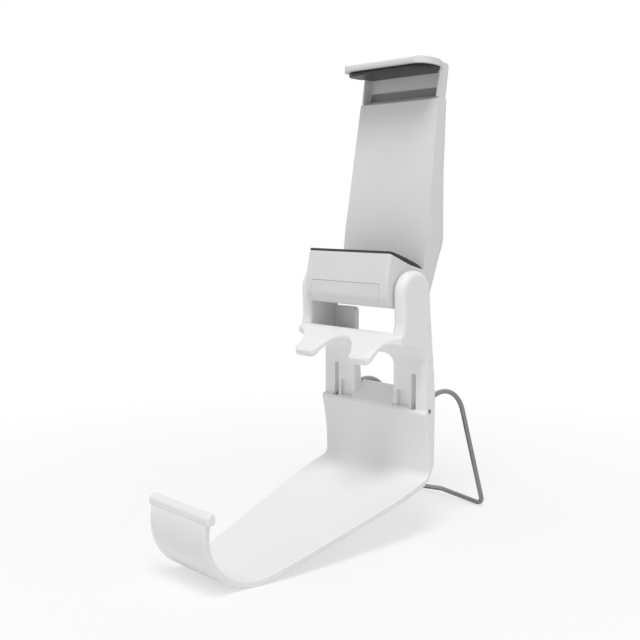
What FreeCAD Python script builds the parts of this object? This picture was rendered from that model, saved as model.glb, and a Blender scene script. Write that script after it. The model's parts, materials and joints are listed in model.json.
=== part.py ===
import FreeCAD, Part
import Sketcher
import math
import os
from types import SimpleNamespace

# A clip that hooks over a games controller, with a sprung phone clamp on a tilting hinge
# and a folding wire stand. Millimetres; X to the right, Y to the back, Z up from the table.
# Sketches count Y from the crease between strap and post; origin_shift centres the object.

V = FreeCAD.Vector

SIZES = {
    # Strap and hook
    "strap_wall": 2.2,
    "strap_slope": 15.5,
    "hook_y": -66.2,
    "hook_radius": 18.0,
    "hook_wall_lean": 12.0,
    "hook_top": 22.8,
    "bead_top": 25.7,
    "bead_depth": 2.4,
    "bead_drop": 3.8,
    "bead_round": 0.9,
    "bead_overhang": 0.8,
    "hook_inset": 10.3,
    "hook_end_draw": 0.6,
    "hook_side_round": 30.0,
    "strap_round": 0.5,
    "strap_mid_y": -54.0,
    "strap_mid_inset": 6.3,
    "strap_mid_round": 60.0,
    "strap_end_y": -14.0,
    "strap_end_inset": 0.3,
    "strap_end_round": 40.0,
    "strap_foot_run": 14.0,
    # Post
    "crease_fillet": 2.5,
    "bend_radius": 8.0,
    "post_front_y": 0.3,
    "post_mid_z": 30.0,
    "post_front_round": 60.0,
    "post_top_y": -2.4,
    "ledge_z": 42.5,
    "ledge_round": 1.1,
    "post_half_width": 23.5,
    "shoulder_step": 0.5,
    "flange_wall": 2.4,
    "spine_y": 5.0,
    "spine_z": 47.0,
    "spine_round": 40.0,
    "leg_inner": 9.0,
    "lug_wall": 4.5,
    "slot_width": 2.0,
    "leg_front_y": -0.7,
    "slot_top": 54.0,
    "arch_top": 60.0,
    "arch_round": 4.0,
    "leg_recess": 1.5,
    "leg_recess_top": 48.0,
    "leg_recess_round": 0.6,
    "ramp_top": 48.0,
    # Shelf and prongs
    "crest_y": -12.9,
    "crest_z": 68.9,
    "crest_round": 1.6,
    "tip_y": -22.7,
    "tip_z": 61.2,
    "tip_thickness": 2.8,
    "shelf_thickness": 2.9,
    "shelf_back_z": 65.6,
    "shelf_fillet": 6.0,
    "prong_inner": 8.0,
    "prong_side_inset": 6.3,
    "prong_side_round": 4.5,
    "prong_round": 2.0,
    "shelf_round": 0.8,
    "shelf_under_round": 4.0,
    "shelf_corner_round": 1.0,
    "notch_y": -15.6,
    "shelf_side_y": -14.0,
    "shelf_side_drop": 1.9,
    # Arms and ears
    "arm_wall": 4.4,
    "arm_front_y": -12.8,
    "arm_front_rise": 2.6,
    "arm_front_round": 5.0,
    "arm_round": 1.8,
    "ear_radius": 7.1,
    "ear_round": 1.6,
    "window_half_width": 9.4,
    "back_web_top": 74.0,
    "back_web_wall": 2.2,
    "back_web_round": 1.5,
    # Tilt hinge
    "pivot_y": -6.0,
    "pivot_z": 81.3,
    "clamp_lean": 8.2,
    "axle_diameter": 3.0,
    "axle_in_ear": 2.0,
    "axle_clearance": 0.05,
    "axle_end_gap": 0.1,
    # Clamp housing, in its own frame: origin on the axle, Z along the housing
    "side_gap": 0.4,
    "block_front_y": -9.9,
    "block_top_front_z": 11.4,
    "block_top_mid_z": 8.9,
    "trough_y": 0.7,
    "trough_round": 14.0,
    "block_rim": 0.9,
    "block_top_back_z": 8.1,
    "block_bottom_z": -5.6,
    "block_round": 4.0,
    "block_front_round": 20.0,
    "block_side_round": 30.0,
    "seam_z": 1.7,
    "wall_y": 7.7,
    "housing_top_z": 64.6,
    "housing_top_inset": 1.2,
    "housing_top_round": 0.9,
    "housing_low_swell": 0.3,
    "housing_flare_z": 20.0,
    "housing_flare_round": 15.0,
    "back_top_y": 13.7,
    "back_mid_y": 15.2,
    "back_mid_z": 41.0,
    "back_mid_round": 30.0,
    "back_low_y": 17.9,
    "back_low_z": 18.0,
    "back_low_round": 8.0,
    "back_foot_y": 12.6,
    "housing_wall": 2.0,
    "housing_side_wall": 3.0,
    "cover_gap": 0.1,
    "cover_wall": 1.3,
    "back_edge_round": 2.6,
    # Upper jaw
    "jaw_seat_gap": 0.1,
    "head_top_z": 76.4,
    "lip_front_y": -4.1,
    "lip_thickness": 2.0,
    "lip_droop": 1.2,
    "lip_overhang": 0.4,
    "lip_neck_round": 8.0,
    "lip_round": 6.0,
    "head_back_round": 3.0,
    "head_rim": 0.9,
    "recess_depth": 3.4,
    "head_inset": 0.4,
    "cheek_wall": 0.6,
    "stem_side_gap": 1.4,
    "stem_wall": 2.1,
    "stem_gap": 0.3,
    "stem_foot_z": 16.0,
    "stem_leg": 5.4,
    "stem_window_top": 34.0,
    "stem_window_round": 2.0,
    # Pads
    "lower_pad_wall": 1.1,
    "lower_pad_side_inset": 0.3,
    "lower_pad_edge": 0.5,
    "upper_pad_wall": 1.5,
    "upper_pad_side_inset": 1.0,
    "upper_pad_inset": 2.0,
    # Springs and their pins
    "spring_diameter": 3.0,
    "spring_wire": 0.6,
    "spring_side_gap": 2.8,
    "spring_play": 0.2,
    "spring_low_z": 12.0,
    "spring_high_z": 31.5,
    "pin_diameter": 1.2,
    "pin_gap": 0.05,
    "pin_in_wall": 1.5,
    # Friction parts of the hinge
    "washer_radius": 3.4,
    "washer_wall": 0.5,
    "wave_wall": 0.4,
    "washer_play": 0.1,
    "sleeve_wall": 1.0,
    "sleeve_half_length": 9.0,
    # Screws
    "screw_diameter": 1.8,
    "screw_head_diameter": 3.4,
    "screw_head_height": 1.2,
    "screw_length": 7.0,
    "screw_floor": 1.2,
    "boss_radius": 2.4,
    "screw_high_z": 24.0,
    "screw_high_seat_y": 15.2,
    "screw_side_gap": 4.2,
    "screw_low_z": 5.5,
    "screw_low_seat_y": 13.2,
    # Wire stand
    "wire_diameter": 1.7,
    "wire_pivot_y": 1.0,
    "wire_pivot_z": 41.9,
    "wire_hole_gap": 0.1,
    "wire_end_inset": 0.4,
    "wire_arm_rise": 20.0,
    "wire_arm_length": 22.6,
    "wire_bend_radius": 12.5,
    "wire_corner_radius": 2.5,
    "wire_end_radius": 1.0,
    "foot_y": 39.2,
    "foot_splay": 0.7,
    "crossbar_rise": 2.1,
}


class Size:
    """A measure known both as a number and as a formula over the sheet's cells."""

    def __init__(self, text, number):
        self.text = text
        self.number = number

    @staticmethod
    def of(value):
        return value if isinstance(value, Size) else Size(repr(float(value)), float(value))

    def join(self, sign, other, number):
        return Size("(%s %s %s)" % (self.text, sign, other.text), number)

    def __add__(self, other):
        other = Size.of(other)
        return self.join("+", other, self.number + other.number)

    def __radd__(self, other):
        return Size.of(other) + self

    def __sub__(self, other):
        other = Size.of(other)
        return self.join("-", other, self.number - other.number)

    def __rsub__(self, other):
        return Size.of(other) - self

    def __mul__(self, other):
        other = Size.of(other)
        return self.join("*", other, self.number * other.number)

    def __rmul__(self, other):
        return Size.of(other) * self

    def __truediv__(self, other):
        other = Size.of(other)
        return self.join("/", other, self.number / other.number)

    def __neg__(self):
        return Size("(0 - %s)" % self.text, -self.number)


def sine(angle):
    return Size("sin(%s)" % angle.text, math.sin(math.radians(angle.number)))


def cosine(angle):
    return Size("cos(%s)" % angle.text, math.cos(math.radians(angle.number)))


def tangent(angle):
    return Size("tan(%s)" % angle.text, math.tan(math.radians(angle.number)))


# The sheet with every driving size, and D, which reads them by name
doc = FreeCAD.newDocument("PhoneClip")
sheet = doc.addObject("Spreadsheet::Sheet", "Sizes")
for row, (alias, value) in enumerate(SIZES.items(), 1):
    sheet.set("A%d" % row, alias)
    sheet.set("B%d" % row, str(value))
    sheet.setAlias("B%d" % row, alias)
doc.recompute()
D = SimpleNamespace(**{alias: Size("Sizes." + alias, float(value)) for alias, value in SIZES.items()})

# Distances from the middle plane that follow from the post's width
D.hook_half_width = D.post_half_width - D.hook_inset
D.bead_half_width = D.hook_half_width + D.bead_overhang
D.strap_mid_half_width = D.post_half_width - D.strap_mid_inset
D.strap_end_half_width = D.post_half_width - D.strap_end_inset
D.flange_outer = D.post_half_width - D.shoulder_step
D.prong_outer = D.flange_outer - D.prong_side_inset
D.flange_inner = D.flange_outer - D.flange_wall
D.arm_inner = D.flange_outer - D.arm_wall
D.lug_inner = D.flange_outer - D.lug_wall
D.leg_outer = D.lug_inner - D.slot_width
D.wire_x = D.leg_outer + D.slot_width / 2
D.wire_end_x = D.flange_outer - D.wire_end_inset
D.foot_x = D.wire_x + D.foot_splay
D.block_half_width = D.arm_inner - D.side_gap
D.housing_low_half_width = D.block_half_width + D.housing_low_swell
D.housing_top_half_width = D.block_half_width - D.housing_top_inset
D.cavity_half_width = D.block_half_width - D.housing_side_wall
D.head_half_width = D.housing_top_half_width - D.head_inset
D.recess_half_width = D.head_half_width - D.cheek_wall
D.lip_half_width = D.block_half_width + D.lip_overhang
D.stem_half_width = D.cavity_half_width - D.stem_side_gap
D.stem_window_half_width = D.stem_half_width - D.stem_leg
D.spring_x = D.stem_window_half_width - D.spring_side_gap
D.screw_low_x = D.cavity_half_width - D.screw_side_gap
D.lower_pad_half_width = D.block_half_width - D.lower_pad_side_inset
D.upper_pad_half_width = D.lip_half_width - D.upper_pad_side_inset


# Outlines: corners (u, v) or (u, v, radius) are rounded in place; a Turn goes round a centre

class Turn:
    """An arc of an outline round a given centre; side is 1 when it turns left, -1 when right."""

    def __init__(self, u, v, radius, side):
        self.u = Size.of(u)
        self.v = Size.of(v)
        self.radius = Size.of(radius)
        self.side = side


class Corner:
    """A vertex of an outline, rounded when it has a radius."""

    def __init__(self, u, v, radius=None):
        self.u = Size.of(u)
        self.v = Size.of(v)
        self.radius = Size.of(radius) if radius is not None else None


def tangent_line(start, end):
    """Start point, end point and direction of the line that joins two elements."""
    offsets = []
    for element in (start, end):
        offsets.append(element.side * element.radius.number if isinstance(element, Turn) else 0.0)
    du = end.u.number - start.u.number
    dv = end.v.number - start.v.number
    reach = math.hypot(du, dv)
    heading = math.atan2(dv, du) - math.asin((offsets[1] - offsets[0]) / reach)
    left = (-math.sin(heading), math.cos(heading))
    first = (start.u.number - offsets[0] * left[0], start.v.number - offsets[0] * left[1])
    last = (end.u.number - offsets[1] * left[0], end.v.number - offsets[1] * left[1])
    return first, last, heading


def bind(sketch, index, size):
    sketch.setExpression("Constraints[%d]" % index, size.text)


def fix_point(sketch, geometry, end, u, v):
    """Places a point at (u, v) from the sketch's origin."""
    for kind, size in (("DistanceX", u), ("DistanceY", v)):
        bind(sketch, sketch.addConstraint(
            Sketcher.Constraint(kind, -1, 1, geometry, end, size.number)), size)


def draw_outline(sketch, elements, closed=True):
    """Draws lines and tangent arcs through the elements and ties each to its sizes."""
    shape = [e if isinstance(e, (Turn, Corner)) else Corner(*e) for e in elements]
    count = len(shape)
    spans = count if closed else count - 1
    lines = [tangent_line(shape[i], shape[(i + 1) % count]) for i in range(spans)]
    starts = [list(line[0]) for line in lines]
    ends = [list(line[1]) for line in lines]
    arcs = {}
    for i, element in enumerate(shape):
        inner = closed or 0 < i < count - 1
        if not inner:
            continue
        before = lines[i - 1][2]
        after = lines[i % spans][2]
        turn = (after - before + math.pi) % (2 * math.pi) - math.pi
        if isinstance(element, Turn):
            if element.side > 0 and turn <= 0:
                turn += 2 * math.pi
            if element.side < 0 and turn >= 0:
                turn -= 2 * math.pi
            centre = (element.u.number, element.v.number)
            radius = element.radius.number
        elif element.radius is not None:
            radius = element.radius.number
            back = radius * math.tan(abs(turn) / 2)
            ends[i - 1] = [element.u.number - back * math.cos(before),
                           element.v.number - back * math.sin(before)]
            starts[i % spans] = [element.u.number + back * math.cos(after),
                                 element.v.number + back * math.sin(after)]
            side = math.copysign(1.0, turn)
            centre = (ends[i - 1][0] - side * radius * math.sin(before),
                      ends[i - 1][1] + side * radius * math.cos(before))
        else:
            continue
        side = math.copysign(1.0, turn)
        first = before - side * math.pi / 2
        last = first + turn
        arcs[i] = (centre, radius, side, min(first, last), max(first, last))
    line_ids = []
    for start, end in zip(starts, ends):
        line_ids.append(sketch.addGeometry(Part.LineSegment(V(*start, 0), V(*end, 0)), False))
    for i, element in enumerate(shape):
        before = line_ids[i - 1] if closed or i > 0 else None
        after = line_ids[i % spans] if closed or i < count - 1 else None
        if i in arcs:
            centre, radius, side, low, high = arcs[i]
            circle = Part.Circle(V(*centre, 0), V(0, 0, 1), radius)
            arc = sketch.addGeometry(Part.ArcOfCircle(circle, low, high), False)
            enter, leave = (1, 2) if side > 0 else (2, 1)
            sketch.addConstraint(Sketcher.Constraint("Tangent", before, 2, arc, enter))
            sketch.addConstraint(Sketcher.Constraint("Tangent", arc, leave, after, 1))
            bind(sketch, sketch.addConstraint(
                Sketcher.Constraint("Radius", arc, radius)), element.radius)
            if isinstance(element, Turn):
                fix_point(sketch, arc, 3, element.u, element.v)
            else:
                vertex = sketch.addGeometry(Part.Point(V(element.u.number, element.v.number, 0)), True)
                fix_point(sketch, vertex, 1, element.u, element.v)
                sketch.addConstraint(Sketcher.Constraint("PointOnObject", vertex, 1, before))
                sketch.addConstraint(Sketcher.Constraint("PointOnObject", vertex, 1, after))
        else:
            if before is not None and after is not None:
                sketch.addConstraint(Sketcher.Constraint("Coincident", before, 2, after, 1))
            if after is not None:
                fix_point(sketch, after, 1, element.u, element.v)
            else:
                fix_point(sketch, before, 2, element.u, element.v)


# Bodies and features

PLANES = {"side": "YZ_Plane", "front": "XZ_Plane", "plan": "XY_Plane"}
parts = []


def new_body(name, kept=True):
    """A body; one that is not kept is a tool, sketched in the frame of the body it joins."""
    body = doc.addObject("PartDesign::Body", name)
    body.Label = name
    if kept:
        parts.append(body)
    return body


def join(body, name, tools):
    """Fuses other bodies into this one."""
    feature = body.newObject("PartDesign::Boolean", name)
    feature.setObjects(tools)
    feature.Type = "Fuse"
    body.Tip = feature
    doc.recompute()
    return feature


def origin_part(body, role):
    return next(f for f in body.Origin.OriginFeatures if f.Role == role)


def sketch_on(body, name, plane, height=None):
    """A sketch on one of the body's own planes, or at a height above it."""
    sketch = body.newObject("Sketcher::SketchObject", name)
    sketch.AttachmentSupport = [(origin_part(body, PLANES[plane]), "")]
    sketch.MapMode = "FlatFace"
    if height is not None:
        height = Size.of(height)
        sketch.AttachmentOffset = FreeCAD.Placement(V(0, 0, height.number), FreeCAD.Rotation())
        sketch.setExpression("AttachmentOffset.Base.z", height.text)
    return sketch


def outline(body, name, plane, elements, height=None):
    sketch = sketch_on(body, name, plane, height)
    draw_outline(sketch, elements)
    return sketch


def circle_sketch(body, name, plane, u, v, radius, height=None):
    """One circle, tied at its centre and radius."""
    sketch = sketch_on(body, name, plane, height)
    u, v, radius = Size.of(u), Size.of(v), Size.of(radius)
    ring = sketch.addGeometry(Part.Circle(V(u.number, v.number, 0), V(0, 0, 1), radius.number), False)
    fix_point(sketch, ring, 3, u, v)
    bind(sketch, sketch.addConstraint(Sketcher.Constraint("Radius", ring, radius.number)), radius)
    return sketch


def extrude(body, kind, sketch, length, both=False, reverse=False):
    """Pad or pocket of one sketch; both means half the length to each side."""
    feature = body.newObject("PartDesign::" + kind, sketch.Name + "_" + kind.lower())
    feature.Profile = sketch
    feature.SideType = "Symmetric" if both else "One side"
    feature.Reversed = reverse
    length = Size.of(length)
    feature.Length = length.number
    feature.setExpression("Length", length.text)
    sketch.Visibility = False
    body.Tip = feature
    return feature


def pad(body, sketch, length, both=False, reverse=False):
    return extrude(body, "Pad", sketch, length, both, reverse)


def pocket(body, sketch, length, both=False, reverse=False):
    return extrude(body, "Pocket", sketch, length, both, reverse)


def mirror(body, features):
    """The features again on the other side of the middle plane."""
    feature = body.newObject("PartDesign::Mirrored", features[0].Name + "_mirrored")
    feature.Originals = features
    feature.MirrorPlane = (origin_part(body, "YZ_Plane"), [""])
    body.Tip = feature
    doc.recompute()
    return feature


def round_edges(body, name, radius, wanted):
    """Rounds the edges that the test picks, on the body's last shape."""
    doc.recompute()
    base = body.Tip
    names = []
    for index, edge in enumerate(base.Shape.Edges, 1):
        if wanted(edge):
            names.append("Edge%d" % index)
    if not names:
        raise ValueError("no edge to round for " + name)
    feature = body.newObject("PartDesign::Fillet", name)
    feature.Base = (base, names)
    feature.Radius = radius.number
    feature.setExpression("Radius", radius.text)
    body.Tip = feature
    doc.recompute()
    return feature


def middle(edge):
    return edge.valueAt((edge.FirstParameter + edge.LastParameter) / 2)


def lies_at_x(edge, x):
    """True for an edge that lies in the plane at x, on one side of the object."""
    box = edge.BoundBox
    return abs(box.XMin - x) < 0.01 and abs(box.XMax - x) < 0.01


# Places of the bodies

origin_shift = (D.hook_radius - D.hook_y - D.foot_y - D.wire_diameter / 2) / 2


def place_on_table(body):
    """Bodies sketched from the crease move so that the object's middle is at the origin."""
    body.Placement = FreeCAD.Placement(V(0, origin_shift.number, 0), FreeCAD.Rotation())
    body.setExpression("Placement.Base.y", origin_shift.text)


def place_on_axle(body):
    """Bodies of the clamp are sketched from the axle and lean back with it."""
    base_y = D.pivot_y + origin_shift
    body.Placement = FreeCAD.Placement(
        V(0, base_y.number, D.pivot_z.number), FreeCAD.Rotation(V(-1, 0, 0), D.clamp_lean.number))
    body.setExpression("Placement.Base.y", base_y.text)
    body.setExpression("Placement.Base.z", D.pivot_z.text)
    body.setExpression("Placement.Rotation.Angle", D.clamp_lean.text)


# Strap lines shared by the bracket's sketches
strap_rise = tangent(D.strap_slope)
touch_y = D.hook_y + D.hook_radius * sine(D.strap_slope)
touch_z = D.hook_radius - D.hook_radius * cosine(D.strap_slope)
strap_thickness = D.strap_wall / cosine(D.strap_slope)
bottom_y = D.spine_y - 0.2


def strap_bottom_z(y):
    return touch_z + (y - touch_y) * strap_rise


def strap_top_z(y):
    return strap_bottom_z(y) + strap_thickness


def spine_at(z):
    """Y of the arms' back edge at a height above the spine's foot."""
    back = D.pivot_y + D.ear_radius
    return D.spine_y + (z - D.spine_z) * (back - D.spine_y) / (D.pivot_z - D.spine_z)


def build_plate(side, outer):
    """One layer of a side: the flange with the arm's outer half, or the arm's inner half."""
    name = "%s_%s" % ("flange" if outer else "arm", side)
    body = new_body(name, kept=False)
    low, high = (D.flange_inner, D.flange_outer) if outer else (D.arm_inner, D.flange_inner)
    face = high if outer else low
    if side == "left":
        low, high, face = -high, -low, -face
    upper = [
        Corner(D.spine_y, D.spine_z, D.spine_round),
        Turn(D.pivot_y, D.pivot_z, D.ear_radius, 1),
        Corner(D.arm_front_y, D.crest_z + D.arm_front_rise, D.arm_front_round),
        Corner(D.shelf_side_y, D.crest_z - D.shelf_side_drop),
        Corner(D.leg_front_y - 4, D.crest_z - D.shelf_thickness - 0.6),
        Corner(D.leg_front_y, D.arch_top + 0.5),
        Corner(D.leg_front_y, D.ledge_z),
    ]
    if outer:
        flange_foot_y = D.post_front_y - 2 * D.strap_wall
        lower = [
            Corner(D.post_top_y + 1, D.ledge_z),
            Corner(D.post_front_y + 1, D.post_mid_z),
            Corner(D.post_front_y + 1, strap_top_z(D.post_front_y)),
            Corner(flange_foot_y, strap_top_z(flange_foot_y) - 0.1),
            Corner(flange_foot_y, strap_bottom_z(flange_foot_y)),
            Corner(bottom_y, strap_bottom_z(bottom_y), D.bend_radius),
        ]
    else:
        lower = [Corner(D.leg_front_y, D.ledge_z - 1), Corner(D.spine_y, D.ledge_z - 1)]
    pad(body, outline(body, name + "_side", "side", upper + lower, low), high - low)
    arm_round = D.arm_round if outer else D.ear_round
    round_edges(body, name + "_round", arm_round, lambda edge: lies_at_x(edge, face.number)
                and in_chain(edge, outer))
    return body


def in_chain(edge, outer):
    """Edges of a plate's rim that stay in view: its back, the ear and the arm's front."""
    point = middle(edge)
    y, z = point.y, point.z
    front = z > (D.crest_z - D.shelf_side_drop).number and y < D.pivot_y.number
    back = y > D.spine_y.number - 3 and z > (D.bend_radius.number + 9 if outer else D.ledge_z.number)
    if z > D.pivot_z.number - 1:
        return True
    return front or back


def build_shelf():
    """The pronged shelf with the upper legs that carry it."""
    body = new_body("shelf", kept=False)
    tip_low_y = D.tip_y + 0.7
    under_z = D.crest_z - D.shelf_thickness
    pad(body, outline(body, "shelf_side", "side", [
        Corner(D.crest_y, D.crest_z, D.crest_round),
        Corner(D.tip_y, D.tip_z),
        Corner(tip_low_y, D.tip_z - D.tip_thickness),
        Corner(D.notch_y + 1.0, under_z - 0.4, D.shelf_under_round),
        Corner(D.leg_front_y, D.arch_top + 2.2, D.shelf_fillet),
        Corner(D.leg_front_y, D.ledge_z - 1),
        Corner(D.spine_y - 1.7, D.ledge_z - 1),
        Corner(spine_at(D.shelf_back_z) - 1.2, D.shelf_back_z - 0.5),
        Corner(spine_at(D.shelf_back_z) - D.back_web_wall, D.shelf_back_z),
    ]), 2 * D.flange_outer, both=True)
    # A notch between the prongs and a hollow at each side, cut straight down
    cut_floor = D.ledge_z - 2
    cut_depth = D.crest_z - cut_floor + 2
    front_y = D.tip_y - 3
    pocket(body, outline(body, "notch", "plan", [
        Corner(-D.prong_inner, front_y),
        Turn(0, D.notch_y - D.prong_inner, D.prong_inner, -1),
        Corner(D.prong_inner, front_y),
    ], cut_floor), cut_depth, reverse=True)
    hollow = pocket(body, outline(body, "prong_side", "plan", [
        Corner(D.prong_outer, front_y),
        Corner(D.prong_outer, D.notch_y - 1.0, D.prong_side_round),
        Corner(D.flange_outer, D.shelf_side_y, D.shelf_corner_round),
        Corner(D.flange_outer, D.shelf_side_y + 2),
        Corner(D.flange_outer + 2, D.shelf_side_y + 2),
        Corner(D.flange_outer + 2, front_y),
    ], cut_floor), cut_depth, reverse=True)
    doc.recompute()
    mirror(body, [hollow])
    tip_y, tip_z, thickness = D.tip_y.number, D.tip_z.number, D.tip_thickness.number
    round_edges(body, "tips_round", D.prong_round, lambda edge: middle(edge).y < tip_y + 1
                and edge.BoundBox.XLength < 0.3 and abs(edge.BoundBox.ZLength - thickness) < 0.3)
    round_edges(body, "shelf_round", D.shelf_round, lambda edge: middle(edge).y < tip_y + 1
                and edge.BoundBox.XLength > 0.3 and edge.BoundBox.ZLength < 0.1)
    return body


def build_bracket():
    """One moulding: hook, strap, bend, channel post, legs, pronged shelf, arms and ears."""
    body = new_body("bracket")
    place_on_table(body)

    # Hook, strap and the post's front skin, one wall thick
    lean = D.hook_wall_lean
    inner_radius = D.hook_radius - D.strap_wall
    wall_foot_y = D.hook_y - D.hook_radius * cosine(lean)
    wall_foot_z = D.hook_radius + D.hook_radius * sine(lean)
    wall_top_y = wall_foot_y + (D.hook_top - wall_foot_z) * tangent(lean)
    across_y = D.strap_wall / cosine(lean)
    crease_z = strap_top_z(D.post_front_y)
    skin = pad(body, outline(body, "skin", "side", [
        Corner(wall_top_y, D.hook_top),
        Turn(D.hook_y, D.hook_radius, D.hook_radius, 1),
        Corner(bottom_y - D.back_web_wall, strap_bottom_z(bottom_y - D.back_web_wall), D.bend_radius),
        Corner(D.post_front_y + D.strap_wall, D.post_mid_z),
        Corner(D.post_top_y + D.strap_wall, D.ledge_z),
        Corner(D.post_top_y, D.ledge_z, D.ledge_round),
        Corner(D.post_front_y, D.post_mid_z, D.post_front_round),
        Corner(D.post_front_y, crease_z, D.crease_fillet),
        Turn(D.hook_y, D.hook_radius, inner_radius, -1),
        Corner(wall_top_y + across_y, D.hook_top),
    ]), 2 * D.post_half_width, both=True)

    # The strap narrows towards the hook
    far_y = D.hook_y - D.hook_radius - 2
    side_x = D.post_half_width + 2
    trim = pocket(body, outline(body, "strap_plan", "plan", [
        Corner(D.hook_half_width - D.hook_end_draw, far_y),
        Corner(D.hook_half_width, D.hook_y - 5, D.hook_side_round),
        Corner(D.strap_mid_half_width, D.strap_mid_y, D.strap_mid_round),
        Corner(D.strap_end_half_width, D.strap_end_y, D.strap_end_round),
        Corner(D.post_half_width, D.strap_end_y + D.strap_foot_run),
        Corner(side_x, D.strap_end_y + D.strap_foot_run),
        Corner(side_x, far_y),
    ]), 2 * D.hook_top, both=True)
    doc.recompute()
    mirror(body, [trim])

    # Its rims are rounded from the hook's top to the post's ledge, along tangent edges
    long_run = 0.75 * (D.strap_end_y - D.strap_mid_y).number
    round_edges(body, "strap_round", D.strap_round, lambda edge: edge.BoundBox.YLength > long_run
                and edge.BoundBox.XLength < long_run / 4)

    # Beaded lip on the hook's wall
    bead_y = wall_top_y + across_y / 2
    bead = new_body("bead", kept=False)
    pad(bead, outline(bead, "bead_side", "side", [
        Corner(bead_y - D.bead_depth * 0.55, D.bead_top - D.bead_drop, D.bead_round),
        Corner(bead_y + D.bead_depth * 0.75, D.bead_top - D.bead_drop, D.bead_round),
        Corner(bead_y + D.bead_depth * 0.75, D.bead_top - D.bead_round, D.bead_round),
        Corner(bead_y + 0.2, D.bead_top, D.bead_round),
        Corner(bead_y - D.bead_depth * 0.55, D.bead_top - 1.4, D.bead_round),
    ]), 2 * D.bead_half_width, both=True)
    round_edges(bead, "bead_ends", D.bead_round - 0.1, lambda edge: edge.BoundBox.XLength < 0.01)

    # Flanges and arms, then the shelf with its prongs, each rounded before it is joined on
    tools = [bead, build_shelf()]
    for side in ("left", "right"):
        tools.append(build_plate(side, True))
        tools.append(build_plate(side, False))
    join(body, "frame", tools)

    # Back web of the arms, beside the window
    web = pad(body, outline(body, "back_web", "front", [
        Corner(D.window_half_width, D.shelf_back_z - 2),
        Corner(D.flange_inner + 1, D.shelf_back_z - 2),
        Corner(D.flange_inner + 1, D.back_web_top),
        Corner(D.window_half_width, D.back_web_top, D.back_web_round),
    ], -spine_at(D.back_web_top)), D.back_web_wall)
    doc.recompute()
    mirror(body, [web])

    # Arch between the legs, and the ramp below it
    pocket(body, outline(body, "arch", "front", [
        Corner(-D.leg_inner, D.ledge_z),
        Corner(D.leg_inner, D.ledge_z),
        Corner(D.leg_inner, D.arch_top, D.arch_round),
        Corner(-D.leg_inner, D.arch_top, D.arch_round),
    ], -(D.spine_y + 1)), D.spine_y + 1 - D.leg_front_y + 4, reverse=True)
    pad(body, outline(body, "ramp", "side", [
        Corner(D.post_top_y + 0.6, D.ledge_z - 2),
        Corner(D.spine_y, D.ledge_z - 2),
        Corner(D.spine_y, D.ramp_top),
        Corner(D.spine_y - 1.2, D.ramp_top),
        Corner(D.post_top_y + 0.6, D.ledge_z),
    ]), 2 * D.leg_inner, both=True)

    # Shallow recess at the foot of each leg
    recess = pocket(body, outline(body, "leg_recess", "front", [
        Corner(D.leg_inner + 1.2, D.ledge_z),
        Corner(D.leg_outer - 0.8, D.ledge_z),
        Corner(D.leg_outer - 0.8, D.leg_recess_top, D.leg_recess_round),
        Corner(D.leg_inner + 1.2, D.leg_recess_top, D.leg_recess_round),
    ], -D.leg_front_y - D.leg_recess), 5, reverse=True)
    doc.recompute()
    mirror(body, [recess])

    # Slots for the wire's arms, and their holes
    slot = pocket(body, outline(body, "wire_slot", "front", [
        Corner(D.leg_outer, D.ledge_z - 3),
        Corner(D.lug_inner, D.ledge_z - 3),
        Corner(D.lug_inner, D.slot_top, 0.5),
        Corner(D.leg_outer, D.slot_top, 0.5),
    ], -(D.spine_y + 1)), D.spine_y + 1 - D.leg_front_y + 1, reverse=True)
    bore = pocket(body, circle_sketch(body, "wire_bore", "side", D.wire_pivot_y, D.wire_pivot_z,
                                      D.wire_diameter / 2 + D.wire_hole_gap, D.leg_outer),
                  D.flange_outer - D.leg_outer + 2, reverse=True)
    doc.recompute()
    mirror(body, [slot, bore])

    # Blind bores in the ears for the axle
    ear_bore = pocket(body, circle_sketch(body, "ear_bore", "side", D.pivot_y, D.pivot_z,
                                          D.axle_diameter / 2 + D.axle_clearance, D.arm_inner),
                      D.axle_in_ear + D.axle_end_gap, reverse=True)
    doc.recompute()
    mirror(body, [ear_bore])
    return body


def round_pin(name, place, y, z, diameter, length):
    """A plain round pin across the middle plane."""
    body = new_body(name)
    place(body)
    pad(body, circle_sketch(body, name + "_round", "side", y, z, diameter / 2), length, both=True)
    return body


def ring(name, place, y, z, inner, outer, start, thickness, mirrored=False):
    """A flat washer or a sleeve round the X direction, from start outwards."""
    body = new_body(name)
    place(body)
    begin = -start if mirrored else start
    blank = circle_sketch(body, name + "_rim", "side", y, z, outer, begin)
    pad(body, blank, thickness, reverse=mirrored)
    doc.recompute()
    hole = circle_sketch(body, name + "_hole", "side", y, z, inner, begin)
    pocket(body, hole, thickness, reverse=not mirrored)
    return body


# Hinge parts

axle_radius = D.axle_diameter / 2
washer_seat = D.arm_inner - D.washer_wall - D.washer_play - D.wave_wall


def build_hinge():
    round_pin("axle", place_on_table, D.pivot_y, D.pivot_z, D.axle_diameter,
              2 * (D.arm_inner + D.axle_in_ear))
    for side in ("left", "right"):
        ring("thrust_washer_" + side, place_on_table, D.pivot_y, D.pivot_z,
             axle_radius + D.axle_clearance, D.washer_radius, D.arm_inner - D.washer_wall,
             D.washer_wall, side == "left")
        ring("wave_washer_" + side, place_on_axle, 0, 0, axle_radius + 2 * D.axle_clearance,
             D.washer_radius, washer_seat, D.wave_wall, side == "left")
    ring("friction_sleeve", place_on_axle, 0, 0, axle_radius + D.axle_clearance,
         axle_radius + D.axle_clearance + D.sleeve_wall, -D.sleeve_half_length,
         2 * D.sleeve_half_length)


# Clamp housing

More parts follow.
